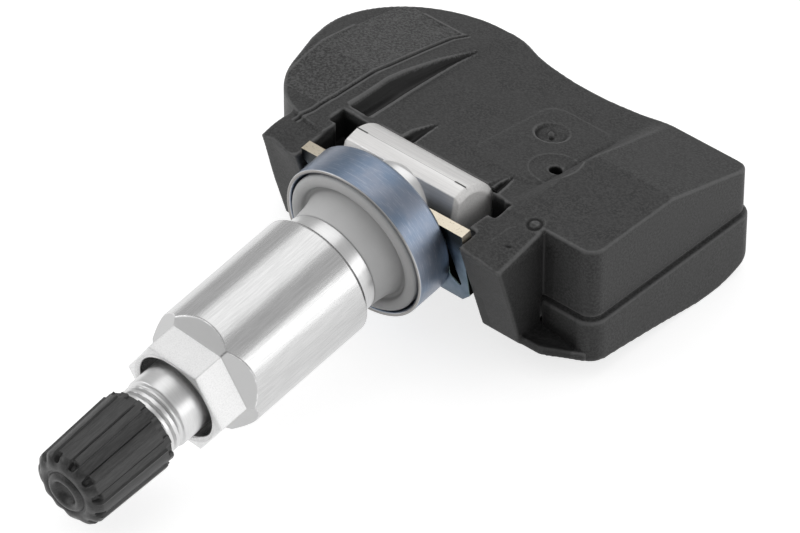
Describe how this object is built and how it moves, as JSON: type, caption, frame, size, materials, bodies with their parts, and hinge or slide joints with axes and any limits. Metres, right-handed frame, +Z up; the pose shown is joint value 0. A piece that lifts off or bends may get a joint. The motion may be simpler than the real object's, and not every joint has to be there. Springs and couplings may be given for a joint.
{
  "type": "tyre pressure sensor",
  "caption": "Wheel-mounted tyre pressure sensor: a battery and transmitter housing that pivots on a clamp-in metal valve stem with a grommet, collar nut and cap.",
  "frame": {"origin": "middle of the part's box seen from above, at the lowest point of the belly and cap it lies on", "axes": "+Z up as it lies on a table, -Y the way the valve points, +X along the foot to the side away from the battery lobe"},
  "size_m": [0.048, 0.0802, 0.0215],
  "materials": {
    "case_plastic": "dark grey glass-filled plastic, fine matt texture",
    "stem_aluminium": "satin, turned",
    "clip_steel": "pale gold passivated spring steel",
    "blued_steel": "blued, brushed round the ring",
    "grey_rubber": "matt mid grey",
    "washer_aluminium": "fine turned",
    "nut_aluminium": "satin, drawn lengthwise",
    "cap_plastic": "black, fluted",
    "black_rubber": "matt",
    "core_brass": "turned",
    "spring_steel": "drawn wire",
    "cell_steel": "nickel plated",
    "tab_nickel": "rolled nickel strip",
    "board": "solder mask",
    "chip_plastic": "moulded, fine grain",
    "capacitor": "fired, tan",
    "ferrite": "pressed and sintered, dark",
    "copper": "enamelled copper wire"
  },
  "bodies": {
    "sensor_unit": {"housing": "case_plastic", "base_cover": "case_plastic", "battery": "cell_steel", "battery_tab_upper": "tab_nickel", "battery_tab_lower": "tab_nickel", "circuit_board": "board", "sensor_chip": "chip_plastic", "port_seal": "black_rubber", "transmitter_chip": "chip_plastic", "crystal": "cell_steel", "capacitors": "capacitor", "coil_core": "ferrite", "coil_winding": "copper", "antenna": "copper"},
    "valve": {"valve_stem": "stem_aluminium", "clip_plate": "clip_steel", "steel_ring": "blued_steel", "grommet": "grey_rubber", "core_body": "core_brass", "core_gasket": "black_rubber", "core_spring": "spring_steel"},
    "washer": {"nut_washer": "washer_aluminium"},
    "nut": {"collar_nut": "nut_aluminium"},
    "gasket": {"cap_gasket": "black_rubber"},
    "cap": {"valve_cap": "cap_plastic"},
    "pin": {"core_pin": "core_brass", "core_seal": "black_rubber"}
  },
  "joints": [
    {"name": "valve_tilt", "type": "hinge", "parent": "sensor_unit", "child": "valve", "pos_m": [0.00082, 0.01093, 0.01311], "axis": [1, 0, 0], "range_deg": [-2.3, 19.7]},
    {"name": "washer_slide", "type": "slide", "parent": "valve", "child": "washer", "axis": [0, -0.9895, -0.1444], "range_m": [0, 0.00375]},
    {"name": "nut_turn", "type": "hinge", "parent": "washer", "child": "nut", "pos_m": [0.00082, -0.0138, 0.0095], "axis": [0, -0.9895, -0.1444], "range_deg": [0, 1800]},
    {"name": "gasket_slide", "type": "slide", "parent": "valve", "child": "gasket", "axis": [0, -0.9895, -0.1444], "range_m": [0, 0.00714]},
    {"name": "cap_turn", "type": "hinge", "parent": "gasket", "child": "cap", "pos_m": [0.00082, -0.03459, 0.00647], "axis": [0, -0.9895, -0.1444], "range_deg": [0, 3240]},
    {"name": "core_press", "type": "slide", "parent": "valve", "child": "pin", "axis": [0, 0.9895, 0.1444], "range_m": [0, 0.0012], "stiffness_N_per_m": 60, "springref_m": -0.0004, "deforming": ["core_spring"]}
  ],
  "couplings": [
    {"joint": "nut_turn", "follows": "washer_slide", "rad_per_m": 8377.6},
    {"joint": "cap_turn", "follows": "gasket_slide", "rad_per_m": 7915.8}
  ]
}
